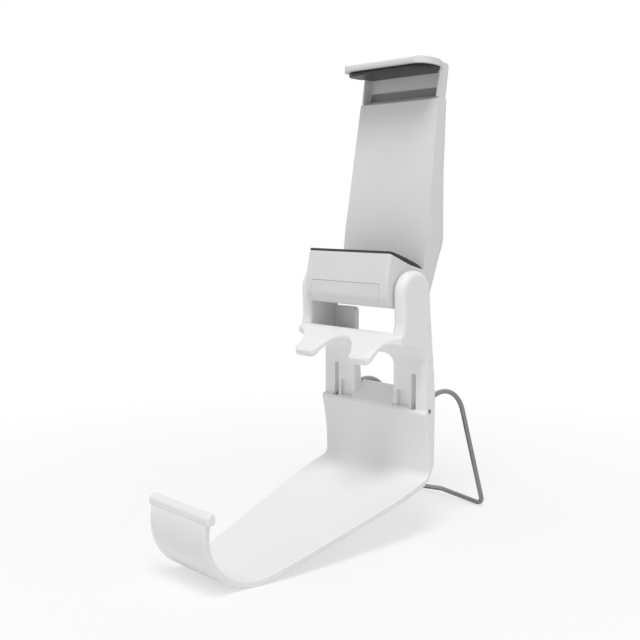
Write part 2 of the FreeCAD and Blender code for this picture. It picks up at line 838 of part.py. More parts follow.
cavity_front_y = D.wall_y + D.housing_wall
stem_front_y = cavity_front_y + D.stem_gap
stem_back_y = stem_front_y + D.stem_wall
spring_y = cavity_front_y + D.spring_play + D.spring_diameter / 2
screw_places = [
    ("high", Size.of(0), D.screw_high_z, D.screw_high_seat_y),
    ("low_left", -D.screw_low_x, D.screw_low_z, D.screw_low_seat_y),
    ("low_right", D.screw_low_x, D.screw_low_z, D.screw_low_seat_y),
]


def trough():
    """The dished top of the block, front to back."""
    return [
        Corner(D.block_front_y + 0.5, D.block_top_front_z),
        Corner(D.trough_y, D.block_top_mid_z, D.trough_round),
        Corner(D.wall_y, D.block_top_back_z),
    ]


def housing_back(inset=0):
    """The back of the housing from its top down to its foot."""
    return [
        Corner(D.back_top_y - inset, D.housing_top_z),
        Corner(D.back_mid_y - inset, D.back_mid_z, D.back_mid_round),
        Corner(D.back_low_y - inset, D.back_low_z, D.back_low_round),
        Corner(D.back_foot_y - inset, D.block_bottom_z + inset, D.block_round),
    ]


def trim_housing(body, name):
    """Narrows a housing body: straight beside the block, then tapering to the top."""
    wide = D.housing_low_half_width + 3
    low = D.block_bottom_z - 2
    trim = pocket(body, outline(body, name, "front", [
        Corner(D.block_half_width, low),
        Corner(D.block_half_width, D.block_top_front_z, D.block_side_round),
        Corner(D.housing_low_half_width, D.housing_flare_z, D.housing_flare_round),
        Corner(D.housing_top_half_width, D.housing_top_z + 1),
        Corner(wide, D.housing_top_z + 1),
        Corner(wide, low),
    ]), 4 * D.back_low_y, both=True)
    doc.recompute()
    mirror(body, [trim])


def build_block():
    """The block under the phone, its front rims softened."""
    body = new_body("block", kept=False)
    pad(body, outline(body, "block_side", "side", trough() + [
        Corner(D.wall_y + 1, D.block_bottom_z),
        Corner(D.block_front_y + 0.9, D.block_bottom_z, D.block_round),
        Corner(D.block_front_y, D.seam_z, D.block_front_round),
    ]), 2 * D.block_half_width, both=True)
    round_edges(body, "block_rim", D.block_rim, lambda edge: edge.BoundBox.XLength < 0.01
                and middle(edge).y < D.block_front_y.number + 0.6 and edge.Length > 3)
    return body


def build_front_shell():
    """Front half: block under the phone, front wall and both side walls."""
    body = new_body("front_shell")
    place_on_axle(body)
    pad(body, outline(body, "housing", "side", [
        Corner(0, D.block_bottom_z),
        Corner(0, D.seam_z),
        Corner(D.wall_y, D.block_top_back_z),
        Corner(D.wall_y, D.housing_top_z),
    ] + housing_back()), 2 * D.housing_low_half_width, both=True)
    trim_housing(body, "housing_taper")
    back_y = D.back_top_y.number
    top_z = D.housing_top_z.number
    round_edges(body, "housing_back_round", D.back_edge_round, lambda edge: edge.BoundBox.ZLength > 15
                and edge.BoundBox.XLength < 2 and middle(edge).y > back_y)
    round_edges(body, "housing_top_round", D.housing_top_round, lambda edge: edge.BoundBox.ZMin > top_z - 0.01
                and edge.BoundBox.YLength < 0.01 and middle(edge).y < D.wall_y.number + 0.01)
    join(body, "block_on", [build_block()])
    low = D.block_bottom_z - 2
    far = 2 * D.back_low_y
    pocket(body, outline(body, "cavity", "side", [
        Corner(cavity_front_y, D.housing_top_z + 1),
        Corner(cavity_front_y, D.block_top_back_z - D.housing_wall),
        Corner(D.trough_y, D.block_top_mid_z - D.housing_wall, D.trough_round),
        Corner(D.block_front_y + D.housing_wall, D.block_top_front_z - D.housing_wall - 0.4),
        Corner(D.block_front_y + D.housing_wall, D.seam_z),
        Corner(-far, D.seam_z),
        Corner(-far, low - far),
        Corner(far, low - far),
        Corner(far, D.housing_top_z + 1),
    ]), 2 * D.cavity_half_width, both=True)
    # Bosses for the screws, on the inside of the front wall
    for name, x, z, seat_y in screw_places:
        boss_end = seat_y - D.screw_floor - D.cover_gap
        pad(body, circle_sketch(body, "boss_" + name, "front", x, z, D.boss_radius, -boss_end),
            boss_end - D.wall_y - D.housing_wall / 2)
        doc.recompute()
        pocket(body, circle_sketch(body, "pilot_" + name, "front", x, z,
                                   D.screw_diameter / 2, -boss_end - 1),
               D.screw_length, reverse=True)
    # Axle bores with seats for the wave washers, and blind bores for the spring pin
    doc.recompute()
    pocket(body, circle_sketch(body, "axle_bore", "side", 0, 0, axle_radius + D.axle_clearance),
           4 * D.housing_low_half_width, both=True)
    seat = pocket(body, circle_sketch(body, "washer_seat", "side", 0, 0,
                                      D.washer_radius + D.washer_play, washer_seat),
                  D.washer_radius, reverse=True)
    pin_bore = pocket(body, circle_sketch(body, "pin_bore", "side", spring_y, D.spring_low_z,
                                          D.pin_diameter / 2 + D.pin_gap, D.cavity_half_width - 1),
                      1 + D.pin_in_wall, reverse=True)
    doc.recompute()
    mirror(body, [seat, pin_bore])
    return body


def build_rear_cover():
    """Rear half, let in between the side walls: back, bottom and the lower front."""
    body = new_body("rear_cover")
    place_on_axle(body)
    wall = D.cover_wall
    inner = housing_back(wall)
    inner.reverse()
    band = housing_back() + [
        Corner(D.block_front_y + 0.9, D.block_bottom_z, D.block_round),
        Corner(D.block_front_y, D.seam_z - D.cover_gap),
        Corner(D.block_front_y + wall, D.seam_z - D.cover_gap),
        Corner(D.block_front_y + 0.9 + wall, D.block_bottom_z + wall, D.block_round - wall),
    ] + inner
    half_width = D.cavity_half_width - D.cover_gap
    pad(body, outline(body, "cover", "side", band), 2 * half_width, both=True)
    for name, x, z, seat_y in screw_places:
        inner_end = seat_y - D.screw_floor
        pad(body, circle_sketch(body, "seat_" + name, "front", x, z, D.boss_radius,
                                -inner_end - D.screw_floor), D.screw_floor)
        pad(body, outline(body, "post_" + name, "front", [
            Corner(x - D.boss_radius * 0.7, z - D.boss_radius * 0.7),
            Corner(x + D.boss_radius * 0.7, z - D.boss_radius * 0.7),
            Corner(x + D.boss_radius * 0.7, z + D.boss_radius * 0.7),
            Corner(x - D.boss_radius * 0.7, z + D.boss_radius * 0.7),
        ], -seat_y - 0.6), 0.6)
        doc.recompute()
        pocket(body, circle_sketch(body, "sink_" + name, "front", x, z,
                                   D.screw_head_diameter / 2 + D.cover_gap, -seat_y),
               10)
        pocket(body, circle_sketch(body, "hole_" + name, "front", x, z,
                                   D.screw_diameter / 2 + D.cover_gap, -inner_end + 1),
               8)
    return body


def build_screws():
    """The screws of the rear cover, heads sunk below its back."""
    body = new_body("shell_screws")
    place_on_axle(body)
    for name, x, z, seat_y in screw_places:
        pad(body, circle_sketch(body, "head_" + name, "front", x, z, D.screw_head_diameter / 2,
                                -seat_y - D.screw_head_height), D.screw_head_height)
        pad(body, circle_sketch(body, "shank_" + name, "front", x, z,
                                D.screw_diameter / 2, -seat_y), D.screw_length - D.screw_floor)
    return body


# Upper jaw

head_low_z = D.housing_top_z + D.jaw_seat_gap
lip_back_z = D.head_top_z - D.lip_thickness
lip_front_z = lip_back_z - D.lip_droop
head_reach = D.head_top_z - head_low_z + 4


def build_upper_jaw():
    """Head with the lip, and the flat stem that runs down in the housing."""
    body = new_body("upper_jaw")
    place_on_axle(body)
    recess_y = D.wall_y + D.recess_depth
    pad(body, outline(body, "head", "side", [
        Corner(stem_front_y, head_low_z),
        Corner(D.back_top_y, head_low_z),
        Corner(D.back_top_y - 0.2, D.head_top_z, D.head_back_round),
        Corner(D.lip_front_y, lip_front_z + D.lip_thickness),
        Corner(D.lip_front_y + 0.4, lip_front_z, 0.5),
        Corner(recess_y, lip_back_z),
        Corner(recess_y, head_low_z + 4.3),
        Corner(recess_y + 0.5, head_low_z + 4.0),
        Corner(recess_y + 0.5, head_low_z + 1.6),
    ]), 2 * D.lip_half_width, both=True)
    wide = D.lip_half_width + 2
    lip_side = pocket(body, outline(body, "lip_side", "plan", [
        Corner(D.lip_half_width - D.lip_round - 1, D.lip_front_y - 2),
        Corner(D.lip_half_width - D.lip_round - 1, D.lip_front_y),
        Corner(D.lip_half_width, D.lip_front_y, D.lip_round),
        Corner(D.lip_half_width, D.wall_y - 3, D.lip_neck_round),
        Corner(D.head_half_width, D.wall_y + 1, D.lip_neck_round),
        Corner(D.head_half_width, D.back_top_y, D.back_edge_round),
        Corner(0, D.back_top_y),
        Corner(0, D.back_top_y + 2),
        Corner(wide, D.back_top_y + 2),
        Corner(wide, D.lip_front_y - 2),
    ], head_low_z - 1), head_reach, reverse=True)
    doc.recompute()
    mirror(body, [lip_side])
    front_y = D.lip_front_y.number
    top_z = (lip_front_z + D.lip_thickness).number
    round_edges(body, "head_rim", D.head_rim, lambda edge: abs(middle(edge).y - front_y) < 0.01
                and abs(middle(edge).z - top_z) < 0.01)
    cheek = pad(body, outline(body, "cheek", "side", [
        Corner(D.wall_y, head_low_z),
        Corner(D.back_top_y - D.back_edge_round, head_low_z),
        Corner(D.back_top_y - D.back_edge_round, lip_back_z),
        Corner(D.wall_y, lip_back_z),
    ], D.recess_half_width), D.cheek_wall)
    doc.recompute()
    mirror(body, [cheek])
    foot_z = D.stem_foot_z
    pad(body, outline(body, "stem", "front", [
        Corner(-D.stem_half_width, foot_z),
        Corner(-D.stem_window_half_width, foot_z),
        Corner(-D.stem_window_half_width, D.stem_window_top, D.stem_window_round),
        Corner(D.stem_window_half_width, D.stem_window_top, D.stem_window_round),
        Corner(D.stem_window_half_width, foot_z),
        Corner(D.stem_half_width, foot_z),
        Corner(D.stem_half_width, head_low_z + 0.2),
        Corner(-D.stem_half_width, head_low_z + 0.2),
    ], -stem_back_y), D.stem_wall)
    pin_bore = pocket(body, circle_sketch(body, "pin_bore", "side", spring_y, D.spring_high_z,
                                          D.pin_diameter / 2 + D.pin_gap, 0),
                      D.stem_window_half_width + D.pin_in_wall, reverse=True)
    doc.recompute()
    mirror(body, [pin_bore])
    return body


# Rubber pads

def build_pads():
    """Black rubber: one dished strip under the phone and one under the lip."""
    lower = new_body("lower_pad")
    place_on_axle(lower)
    pad(lower, outline(lower, "strip", "side", [
        Corner(D.block_front_y + 0.5, D.block_top_front_z),
        Corner(D.trough_y, D.block_top_mid_z, D.trough_round),
        Corner(D.wall_y, D.block_top_back_z),
        Corner(D.wall_y - 0.2, D.block_top_back_z + D.lower_pad_edge),
        Corner(D.wall_y - 2.0, D.block_top_mid_z + D.lower_pad_wall, 4.0),
        Corner(D.block_front_y + 0.9, D.block_top_front_z + D.lower_pad_wall, 0.4),
    ]), 2 * D.lower_pad_half_width, both=True)
    upper = new_body("upper_pad")
    place_on_axle(upper)
    front_y = D.lip_front_y + D.upper_pad_inset
    recess_y = D.wall_y + D.recess_depth
    slope = D.lip_droop / (recess_y - D.lip_front_y - 0.4)
    under_front_z = lip_back_z - slope * (recess_y - front_y)
    pad(upper, outline(upper, "strip", "side", [
        Corner(front_y, under_front_z),
        Corner(front_y, under_front_z - D.upper_pad_wall, 0.5),
        Corner(recess_y, lip_back_z - D.upper_pad_wall),
        Corner(recess_y, lip_back_z),
    ]), 2 * D.upper_pad_half_width, both=True)
    wide = D.upper_pad_half_width + 2
    side = pocket(upper, outline(upper, "strip_side", "plan", [
        Corner(D.upper_pad_half_width - D.lip_round - 1, front_y - 2),
        Corner(D.upper_pad_half_width - D.lip_round - 1, front_y),
        Corner(D.upper_pad_half_width, front_y, D.lip_round - 1),
        Corner(D.upper_pad_half_width, D.wall_y - 1.5, 1.5),
        Corner(D.recess_half_width - 0.1, D.wall_y - 0.3),
        Corner(D.recess_half_width - 0.1, recess_y + 2),
        Corner(wide, recess_y + 2),
        Corner(wide, front_y - 2),
    ], head_low_z), head_reach, reverse=True)
    doc.recompute()
    mirror(upper, [side])


# Springs with their cross pins

def sketch_round(body, name, plane, u, v, height):
    """A sketch whose own origin is at (u, v), for turning round its axes."""
    sketch = sketch_on(body, name, plane, height)
    u, v = Size.of(u), Size.of(v)
    base = sketch.AttachmentOffset.Base
    sketch.AttachmentOffset = FreeCAD.Placement(V(u.number, v.number, base.z), FreeCAD.Rotation())
    sketch.setExpression("AttachmentOffset.Base.x", u.text)
    sketch.setExpression("AttachmentOffset.Base.y", v.text)
    return sketch


def revolve(body, sketch, axis):
    feature = body.newObject("PartDesign::Revolution", sketch.Name + "_turned")
    feature.Profile = sketch
    feature.ReferenceAxis = (sketch, [axis])
    feature.Angle = 360
    sketch.Visibility = False
    body.Tip = feature
    return feature


def build_spring(name, x):
    """A close-wound extension spring with a loop round the pin at each end."""
    body = new_body(name)
    place_on_axle(body)
    outer = D.spring_diameter / 2
    inner = outer - D.spring_wire
    loop = D.pin_diameter / 2 + D.pin_gap + D.spring_wire / 2
    coil_low = D.spring_low_z + loop
    pitch = (D.spring_high_z - D.spring_low_z - 2 * loop) / SPRING_TURNS
    profile = [Corner(inner, coil_low)]
    for turn in range(SPRING_TURNS):
        profile.append(Corner(outer - D.spring_wire / 2, coil_low + pitch * turn))
        profile.append(Corner(outer, coil_low + pitch * (turn + 0.5)))
    profile.append(Corner(outer - D.spring_wire / 2, coil_low + pitch * SPRING_TURNS))
    profile.append(Corner(inner, coil_low + pitch * SPRING_TURNS))
    coil = sketch_round(body, "coil", "side", spring_y, 0, x)
    draw_outline(coil, profile)
    revolve(body, coil, "V_Axis")
    for end, z in (("low", D.spring_low_z), ("high", D.spring_high_z)):
        pad(body, circle_sketch(body, "eye_" + end, "side", spring_y, z,
                                loop + D.spring_wire / 2, x), D.spring_wire, both=True)
        doc.recompute()
        pocket(body, circle_sketch(body, "eye_hole_" + end, "side", spring_y, z,
                                   loop - D.spring_wire / 2, x), 2 * D.spring_wire, both=True)
        doc.recompute()
    link = D.spring_wire / 2
    for end, z in (("low", coil_low), ("high", D.spring_high_z - loop)):
        pad(body, outline(body, "bridge_" + end, "side", [
            Corner(spring_y - inner - link, z - link),
            Corner(spring_y + inner + link, z - link),
            Corner(spring_y + inner + link, z + link),
            Corner(spring_y - inner - link, z + link),
        ], x), D.spring_wire, both=True)
    doc.recompute()
    return body


def build_springs():
    build_spring("spring_left", -D.spring_x)
    build_spring("spring_right", D.spring_x)
    round_pin("shell_spring_pin", place_on_axle, spring_y, D.spring_low_z, D.pin_diameter,
              2 * (D.cavity_half_width + D.pin_in_wall - 0.1))
    round_pin("jaw_spring_pin", place_on_axle, spring_y, D.spring_high_z, D.pin_diameter,
              2 * (D.stem_window_half_width + D.pin_in_wall - 0.1))


# Wire stand

def bent_wire(points, radii, radius):
    """A round wire along straight runs joined by tangent arcs."""
    edges = []
    start = points[0]
    for i in range(1, len(points) - 1):
        before = (points[i] - points[i - 1]).normalize()
        after = (points[i + 1] - points[i]).normalize()
        turn = before.getAngle(after)
        back = radii[i - 1] * math.tan(turn / 2)
        enter = points[i] - before * back
        leave = points[i] + after * back
        outward = (before - after).normalize()
        centre = points[i] - outward * (radii[i - 1] / math.cos(turn / 2))
        crown = centre + outward * radii[i - 1]
        edges.append(Part.LineSegment(start, enter).toShape())
        edges.append(Part.Arc(enter, crown, leave).toShape())
        start = leave
    edges.append(Part.LineSegment(start, points[-1]).toShape())
    path = Part.Wire(edges)
    section = Part.Wire([Part.makeCircle(radius, points[0], points[1] - points[0])])
    return path.makePipeShell([section], True, False)


def build_stand():
    """One steel wire: ends in the holes, arms, bends, legs and a crossbar with a shallow V."""
    rise = math.radians(D.wire_arm_rise.number)
    pivot = V(D.wire_x.number, D.wire_pivot_y.number, D.wire_pivot_z.number)
    elbow = pivot + V(0, math.cos(rise), math.sin(rise)) * D.wire_arm_length.number
    foot = V(D.foot_x.number, D.foot_y.number, D.wire_diameter.number / 2)
    leg = (elbow - foot).normalize()
    apex = V(0, foot.y, foot.z) + V(0, leg.y, leg.z) * D.crossbar_rise.number
    right = [V(D.wire_end_x.number, pivot.y, pivot.z), pivot, elbow, foot]
    left = [V(-p.x, p.y, p.z) for p in reversed(right)]
    corner = D.wire_corner_radius.number
    end = D.wire_end_radius.number
    bends = [end, D.wire_bend_radius.number, corner, corner, corner, D.wire_bend_radius.number, end]
    stand = doc.addObject("Part::Feature", "stand_wire")
    stand.Label = "stand_wire"
    stand.Shape = bent_wire(right + [apex] + left, bends, D.wire_diameter.number / 2)
    stand.Placement = FreeCAD.Placement(V(0, origin_shift.number, 0), FreeCAD.Rotation())
    parts.append(stand)


SPRING_TURNS = 4

build_bracket()
build_hinge()
build_front_shell()
build_rear_cover()
build_screws()
build_upper_jaw()
build_pads()
build_springs()
build_stand()

# Every object has to be sound before anything is written
doc.recompute()
for item in doc.Objects:
    if "Invalid" in item.State or "Error" in item.State:
        raise RuntimeError("%s did not build: %s" % (item.Name, item.State))
for body in parts:
    if body.Shape.isNull() or not body.Shape.isValid():
        raise RuntimeError(body.Label + " is not a sound shape")
    if len(body.Shape.Solids) != 1:
        print("solids", body.Label, len(body.Shape.Solids))

os.makedirs("parts", exist_ok=True)
for body in parts:
    body.Shape.exportStep(os.path.join("parts", body.Label + ".step"))
    print("wrote", body.Label, "volume %.1f" % body.Shape.Volume)
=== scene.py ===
"""Controller phone clip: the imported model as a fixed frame, with finishes, pads and a studio.

Everything is in metres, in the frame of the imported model: X to the right, Y to the back, Z up.
Places written x', y' and z' are millimetres in the clamp's own frame.
"""
import json
import math

import bpy
import numpy as np
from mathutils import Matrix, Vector


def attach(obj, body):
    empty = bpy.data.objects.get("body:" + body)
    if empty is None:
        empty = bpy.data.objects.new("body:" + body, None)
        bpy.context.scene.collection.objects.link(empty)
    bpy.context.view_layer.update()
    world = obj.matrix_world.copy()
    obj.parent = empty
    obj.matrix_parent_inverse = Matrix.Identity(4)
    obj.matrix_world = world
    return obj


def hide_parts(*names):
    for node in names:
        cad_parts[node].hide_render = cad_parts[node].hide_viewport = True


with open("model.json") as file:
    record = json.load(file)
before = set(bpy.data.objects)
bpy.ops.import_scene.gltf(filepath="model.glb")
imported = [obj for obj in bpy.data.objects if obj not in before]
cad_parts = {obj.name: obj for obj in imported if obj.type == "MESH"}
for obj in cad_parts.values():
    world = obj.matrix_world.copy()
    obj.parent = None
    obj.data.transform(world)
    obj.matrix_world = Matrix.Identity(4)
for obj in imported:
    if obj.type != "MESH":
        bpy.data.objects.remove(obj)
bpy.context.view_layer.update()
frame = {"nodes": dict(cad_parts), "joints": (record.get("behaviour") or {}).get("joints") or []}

nodes = frame["nodes"]
joints = {joint["name"]: joint for joint in frame["joints"]}
MM = 0.001

# The clamp's own frame: origin on the axle, z' along the housing, leaning back
axle_point = np.array(joints["clamp_tilt"]["pos_m"])
clamp_up = np.array(joints["jaw_slide"]["axis"])
clamp_up = clamp_up / np.linalg.norm(clamp_up)
clamp_back = np.array([0.0, clamp_up[2], -clamp_up[1]])
clamp_right = np.array([1.0, 0.0, 0.0])


def from_clamp(points):
    """Points in the clamp's frame, in millimetres, to the model's frame, in metres."""
    points = np.asarray(points, float) * MM
    turned = (points[..., 0:1] * clamp_right + points[..., 1:2] * clamp_back
              + points[..., 2:3] * clamp_up)
    return axle_point + turned


# Node trees

class Socket:
    """A shader socket that takes part in Python arithmetic; each operation adds a Math node."""

    def __init__(self, tree, link):
        self.tree = tree
        self.link = link

    def math(self, operation, *others):
        values = dict(enumerate((self,) + others))
        return self.tree.node("ShaderNodeMath", {"operation": operation}, values)

    def __add__(self, other):
        return self.math("ADD", other)

    __radd__ = __add__

    def __sub__(self, other):
        return self.math("SUBTRACT", other)

    def __rsub__(self, other):
        return self.tree.node("ShaderNodeMath", {"operation": "SUBTRACT"}, {0: other, 1: self})

    def __mul__(self, other):
        return self.math("MULTIPLY", other)

    __rmul__ = __mul__

    def absolute(self):
        return self.math("ABSOLUTE")

    def larger(self, other):
        return self.math("MAXIMUM", other)

    def clipped(self, low, high):
        """0 at low, 1 at high and straight between them."""
        ends = {"From Min": low, "From Max": high}
        return self.tree.node("ShaderNodeMapRange", {"clamp": True}, {"Value": self, **ends})


class Tree:
    """A node tree, and the one method that adds a node to it."""

    def __init__(self, owner):
        owner.use_nodes = True
        self.links = owner.node_tree.links
        self.nodes = owner.node_tree.nodes

    def node(self, kind, settings=None, values=None, output=0):
        """Adds a node: its settings first, then the values or links of its sockets."""
        made = self.nodes.new(kind)
        for key, value in (settings or {}).items():
            setattr(made, key, value)
        for key, value in (values or {}).items():
            self.feed(made.inputs[key], value)
        return Socket(self, made.outputs[output])

    def feed(self, target, value):
        """Links a socket to an input, or writes a plain value into it."""
        if isinstance(value, Socket):
            self.links.new(value.link, target)
        else:
            target.default_value = value

    def blend(self, factor, first, second):
        """A colour between two, chosen by a socket."""
        colors = {0: factor, 6: first, 7: second}
        return self.node("ShaderNodeMix", {"data_type": "RGBA"}, colors, 2)

    def ray(self, kind):
        """1 for rays of a kind, such as Camera, and 0 for others."""
        return self.node("ShaderNodeLightPath", output="Is %s Ray" % kind)


class Shader(Tree):
    """A material with a Principled BSDF, its surface."""

    def __init__(self, name):
        self.material = bpy.data.materials.new(name)
        super().__init__(self.material)
        self.surface = self.nodes["Principled BSDF"]

    def place(self):
        """Object coordinates in metres."""
        return self.node("ShaderNodeTexCoord", output="Object")

    def along(self, origin, direction):
        """The distance in metres along a direction from an origin."""
        offset = self.node("ShaderNodeVectorMath", {"operation": "SUBTRACT"},
                           {0: self.place(), 1: tuple(origin)})
        return self.node("ShaderNodeVectorMath", {"operation": "DOT_PRODUCT"},
                         {0: offset, 1: tuple(direction)}, "Value")

    def noise(self, grain, detail=3.0, rough=0.55):
        """Noise with grains of about the given size in metres."""
        scale = {"Vector": self.place(), "Scale": 1 / grain, "Detail": detail, "Roughness": rough}
        return self.node("ShaderNodeTexNoise", {"noise_dimensions": "3D"}, scale)

    def bump(self, height, distance, strength):
        """A normal from a height, where 1 stands for a distance in metres."""
        return self.node("ShaderNodeBump", None,
                         {"Height": height, "Distance": distance, "Strength": strength})

    def set(self, **values):
        """Sets or links the surface's sockets, written with underscores for spaces."""
        for key, value in values.items():
            self.feed(self.surface.inputs[key.replace("_", " ")], value)


def grey(level, warm=0.0):
    return (level + warm, level, level - warm, 1.0)


# Finishes

# Painted shade on the floor of the groove across the jaw's recess, which lies in shadow: where
# each of its edges starts and ends
GROOVE_LOW_EDGE, GROOVE_HIGH_EDGE = (65.7, 66.3), (68.6, 69.0)
GROOVE_DEEP_EDGE, GROOVE_SIDE_EDGE = (12.0, 12.3), (15.9, 16.0)
# The colour of the painted shade on the groove's floor
GROOVE_PAINTED_SHADE = grey(0.26)


def groove_painted_shade_mask(shader):
    """1 where shade is painted on the floor of the groove across the jaw's recess, and 0
    elsewhere.
    """
    height = shader.along(axle_point, clamp_up)
    depth = shader.along(axle_point, clamp_back)
    side = shader.along(axle_point, clamp_right).absolute()

    def past(distance, edge):
        return distance.clipped(edge[0] * MM, edge[1] * MM)

    return (past(height, GROOVE_LOW_EDGE) * (1 - past(height, GROOVE_HIGH_EDGE))
            * (1 - past(depth, GROOVE_DEEP_EDGE)) * (1 - past(side, GROOVE_SIDE_EDGE)))


def white_moulding(name, level, rough, paint_groove_shade=False):
    """Satin white plastic: faint flow mottling, soft sheen and a very fine moulded grain, with
    shade optionally painted in the jaw's groove.
    """
    shader = Shader(name)
    mottle = shader.noise(14 * MM).clipped(0.3, 0.7)
    color = shader.blend(mottle, grey(level - 0.012, 0.001), grey(level + 0.006, 0.001))
    # Painted shade: the floor of the jaw's groove is darkened where the recess lies in shadow
    if paint_groove_shade:
        color = shader.blend(groove_painted_shade_mask(shader), color, GROOVE_PAINTED_SHADE)
    sheen = shader.noise(6 * MM).clipped(0.3, 0.7)
    grain = shader.noise(0.35 * MM, detail=2.0)
    ripple = shader.noise(5 * MM, detail=1.0)
    shader.set(Base_Color=color, Roughness=rough + 0.05 * sheen,
               Normal=shader.bump(grain * 0.35 + ripple, 0.018 * MM, 0.5))
    shader.set(IOR=1.46, Specular_IOR_Level=0.42)
    return shader.material


def black_rubber():
    """Soft matt rubber, near black, with dust-fine speckle in its sheen."""
    shader = Shader("pad_rubber")
    speckle = shader.noise(0.5 * MM, detail=2.0)
    color = shader.blend(speckle.clipped(0.35, 0.75), grey(0.014), grey(0.030))
    shader.set(Base_Color=color, Roughness=0.32 + 0.12 * speckle,
               Normal=shader.bump(speckle, 0.02 * MM, 0.4))
    shader.set(Specular_IOR_Level=0.5)
    return shader.material


def steel(name, level, rough):
    """Bright steel with fine changes of tone and gloss."""
    shader = Shader(name)
    streak = shader.noise(0.12 * MM, detail=4.0)
    color = shader.blend(streak.clipped(0.3, 0.7), grey(level * 0.82, 0.006), grey(level, 0.006))
    shader.set(Base_Color=color, Roughness=rough + 0.14 * streak,
               Normal=shader.bump(streak, 0.01 * MM, 0.5))
    shader.set(Metallic=1.0)
    return shader.material


def nylon():
    """Milky washer plastic."""
    shader = Shader("washer_nylon")
    cloud = shader.noise(2 * MM, detail=2.0)
    color = shader.blend(cloud.clipped(0.3, 0.7), grey(0.74, 0.01), grey(0.8, 0.01))
    shader.set(Base_Color=color, Roughness=0.45 + 0.1 * cloud)
    return shader.material


bracket_white = white_moulding("bracket_white", level=0.86, rough=0.36)
housing_white = white_moulding("housing_white", level=0.745, rough=0.42)
# The jaw's white plastic, with shade painted on the floor of its groove
jaw_white_painted_shade = white_moulding("jaw_white_painted_shade", level=0.735, rough=0.42, paint_groove_shade=True)
rubber = black_rubber()
wire_steel = steel("stand_wire_steel", level=0.30, rough=0.16)
pin_steel = steel("pin_steel", level=0.6, rough=0.3)
screw_steel = steel("screw_steel", level=0.36, rough=0.34)
spring_steel = steel("spring_steel", level=0.5, rough=0.3)
washer = nylon()

FINISHES = {
    "bracket": bracket_white,
    "front_shell": housing_white,
    "rear_cover": housing_white,
    "upper_jaw": jaw_white_painted_shade,
    "stand_wire": wire_steel,
    "axle": pin_steel,
    "jaw_spring_pin": pin_steel,
    "shell_spring_pin": pin_steel,
    "shell_screws": screw_steel,
    "spring_left": spring_steel,
    "spring_right": spring_steel,
    "wave_washer_left": spring_steel,
    "wave_washer_right": spring_steel,
    "thrust_washer_left": washer,
    "thrust_washer_right": washer,
    "friction_sleeve": rubber,
    "lower_pad": rubber,
    "upper_pad": rubber,
}
for name, material in FINISHES.items():
    nodes[name].data.materials.clear()
    nodes[name].data.materials.append(material)


# Surfaces

def link_object(name, data):
    """A new object in the scene, at the origin and unturned."""
    made = bpy.data.objects.new(name, data)
    bpy.context.scene.collection.objects.link(made)
    return made


def tube_mesh(name, points):
    """A closed surface from an array of rings of points.

    Each ring runs round the tube. The end rings are closed with a fan about their middle.
    """
    rings, count, _ = points.shape
    first = np.arange(rings * count).reshape(rings, count)
    following = np.roll(first, -1, axis=1)
    quads = np.stack([first[:-1], following[:-1], following[1:], first[1:]], -1).reshape(-1, 4)
    start, end = np.full(count, rings * count), np.full(count, rings * count + 1)
    start_fan = np.stack([following[0], first[0], start], -1)
    end_fan = np.stack([first[-1], following[-1], end], -1)
    vertices = np.vstack([points.reshape(-1, 3), points[0].mean(0), points[-1].mean(0)])
    mesh = bpy.data.meshes.new(name)
    mesh.from_pydata(vertices.tolist(), [],
                     quads.tolist() + start_fan.tolist() + end_fan.tolist())
    mesh.shade_smooth()
    mesh.update()
    return link_object(name, mesh)


def superellipse(count, exponent):
    """A closed unit outline: cosine and sine of the angle, each to the power 2 / exponent."""
    angle = np.linspace(0, 2 * np.pi, count, endpoint=False)
    cosine, sine = np.cos(angle), np.sin(angle)
    return (np.sign(cosine) * np.abs(cosine) ** (2 / exponent),
            np.sign(sine) * np.abs(sine) ** (2 / exponent))


def finish_piece(piece, body, material, node=None):
    """Gives a piece its body and its material, and the node it stands for, if any."""
    piece.data.materials.append(material)
    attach(piece, body)
    if node is not None:
        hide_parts(node)
    return piece


# Plugs that close the two ends of the jaw's groove, flush with the head's sides

PLUG_Y, PLUG_Z = (10.9, 11.75), (66.0, 69.0)
PLUG_INNER, HEAD_SIDE = 15.9, 16.61
SIDE_ROUND_Y, SIDE_ROUND = 11.1, 2.6
PLUG_POINTS, PLUG_EXPONENT = 48, 12.0


def make_groove_end(name, side):
    """A rounded rectangle of y' and z' carried along X, out to the head's side.

    The outer face follows the side's round: x' = side - (r - sqrt(r^2 - (y' - start)^2)).
    """
    across, up = superellipse(PLUG_POINTS, PLUG_EXPONENT)
    y = np.mean(PLUG_Y) + np.ptp(PLUG_Y) / 2 * across
    z = np.mean(PLUG_Z) + np.ptp(PLUG_Z) / 2 * up
    past = np.maximum(y - SIDE_ROUND_Y, 0)
    outer = HEAD_SIDE - (SIDE_ROUND - np.sqrt(SIDE_ROUND ** 2 - past ** 2))
    x = side * np.stack([np.full(y.size, PLUG_INNER), outer])
    points = np.stack([x, np.stack([y, y]), np.stack([z, z])], -1)
    plug = tube_mesh(name, from_clamp(points[::side]))
    plug.data.shade_flat()
    return plug


# The lower pad: a thin rubber strip in the block's dish

DISH_Y = (-9.4, -4.6, -2.0, 0.7, 3.4, 5.9, 7.7)
DISH_Z = (11.4, 10.16, 9.52, 9.06, 8.72, 8.46, 8.1)
LOWER_LIFT = 0.02
LOWER_FRONT, LOWER_BACK = -9.2, 7.55
LOWER_HALF_WIDTH = 17.9
LOWER_WALL_FRONT, LOWER_WALL_BACK = 1.05, 0.30
LOWER_THINNING = 5
LOWER_CROWN = 0.65
LOWER_END = 0.45
LOWER_END_THINNER, LOWER_END_SHORTER = 0.25, 0.08
LOWER_POINTS, LOWER_EXPONENT = 96, 7.0
LOWER_END_ROWS, LOWER_MIDDLE_ROWS = 7, 37


